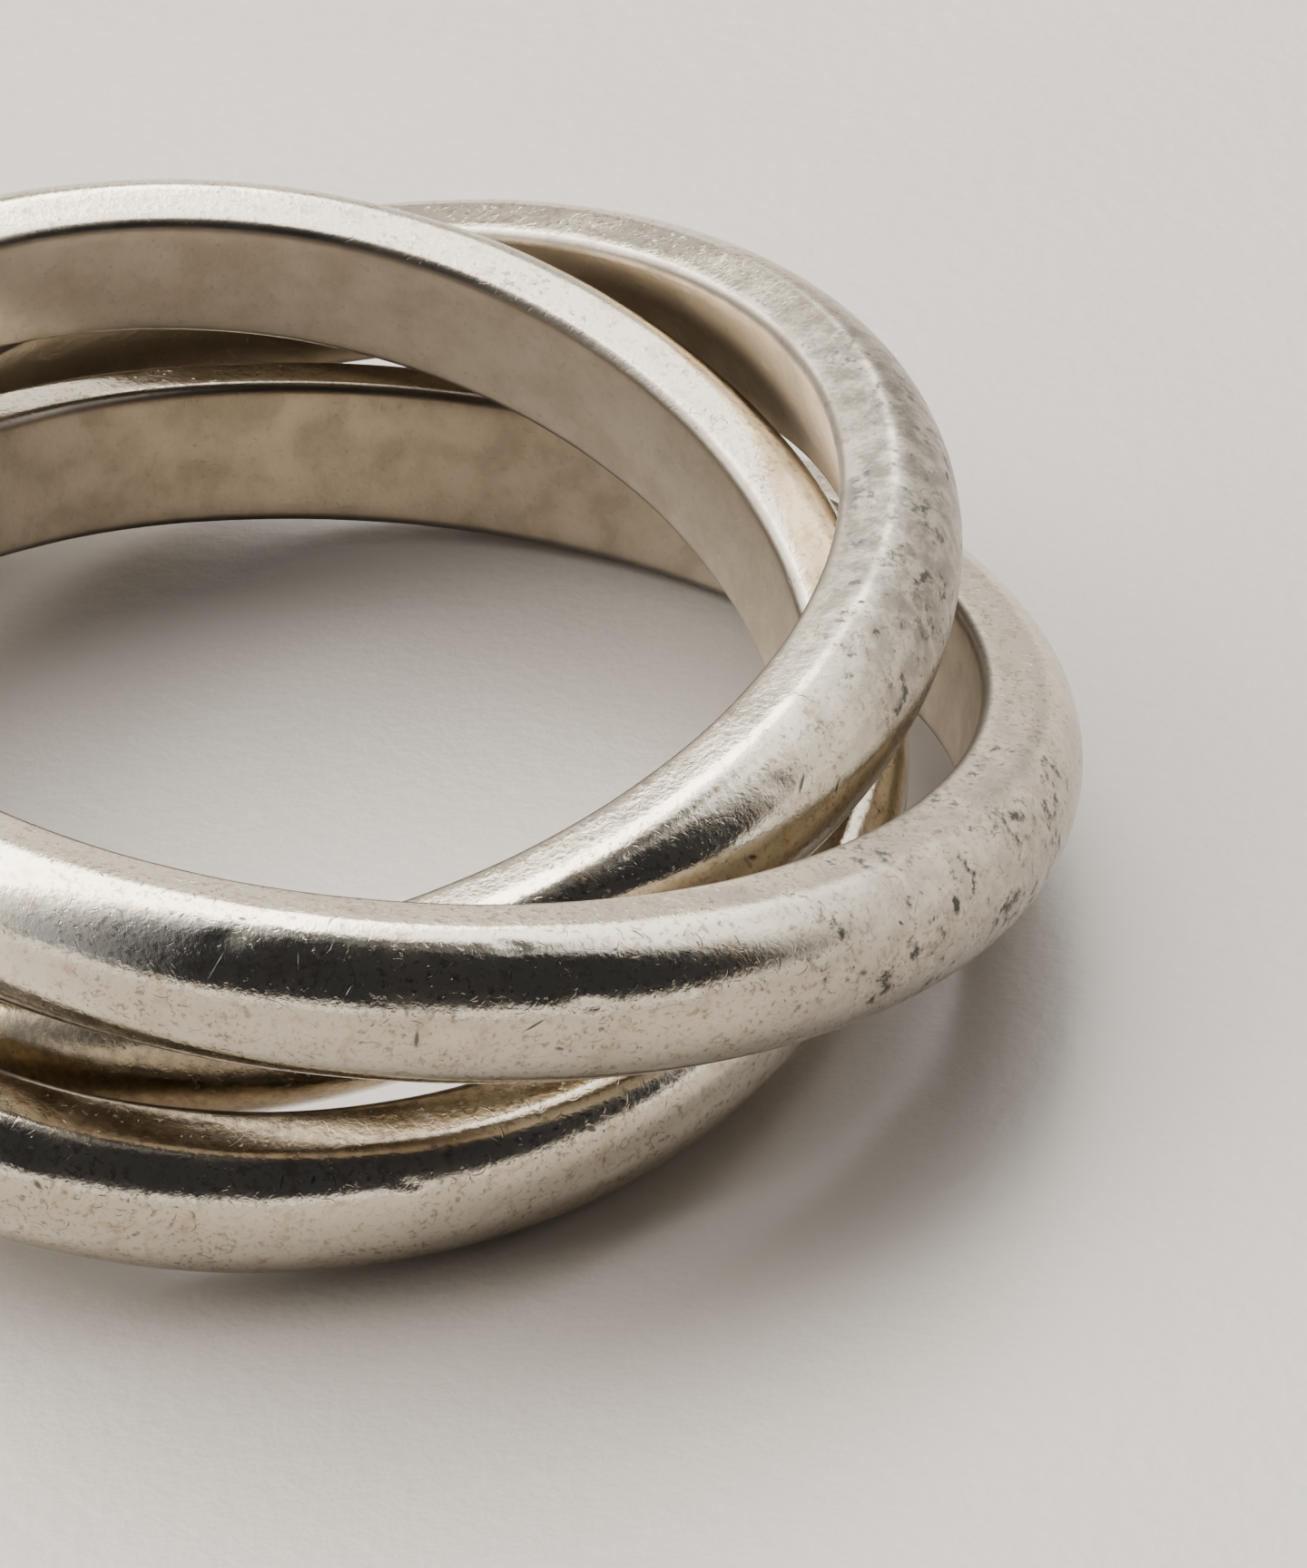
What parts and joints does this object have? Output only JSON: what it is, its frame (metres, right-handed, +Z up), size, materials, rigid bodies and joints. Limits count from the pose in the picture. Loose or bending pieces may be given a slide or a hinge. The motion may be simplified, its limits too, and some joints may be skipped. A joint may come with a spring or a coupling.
{
  "type": "rolling ring",
  "caption": "Rolling ring of equal domed silver bands linked through one another; each band turns within the others as the ring rolls onto a finger.",
  "frame": {"origin": "on the surface the ring lies on, under the middle of the box round all the bands", "axes": "+Z up from the surface, -Y towards the viewer of the picture, +X to the viewer's right"},
  "size_m": [0.0238, 0.0232, 0.007],
  "materials": {
    "silver": "polished sterling silver gone soft with wear: fine scratches and small dents on the domes, grey pits and a thin warm tarnish, brownish satin inner walls"
  },
  "bodies": {
    "front_band": {"band_front": "silver"},
    "right_band": {"band_right": "silver"},
    "back_band": {"band_back": "silver"}
  },
  "joints": [
    {"name": "front_band_spin", "type": "hinge", "parent": "right_band", "child": "front_band", "pos_m": [0.0013, -0.00086, 0.00333], "axis": [0.0987, 0.1896, 0.9769], "continuous": true},
    {"name": "back_band_spin", "type": "hinge", "parent": "right_band", "child": "back_band", "pos_m": [-0.00132, -0.00103, 0.00347], "axis": [0.126, -0.1904, 0.9736], "continuous": true}
  ]
}
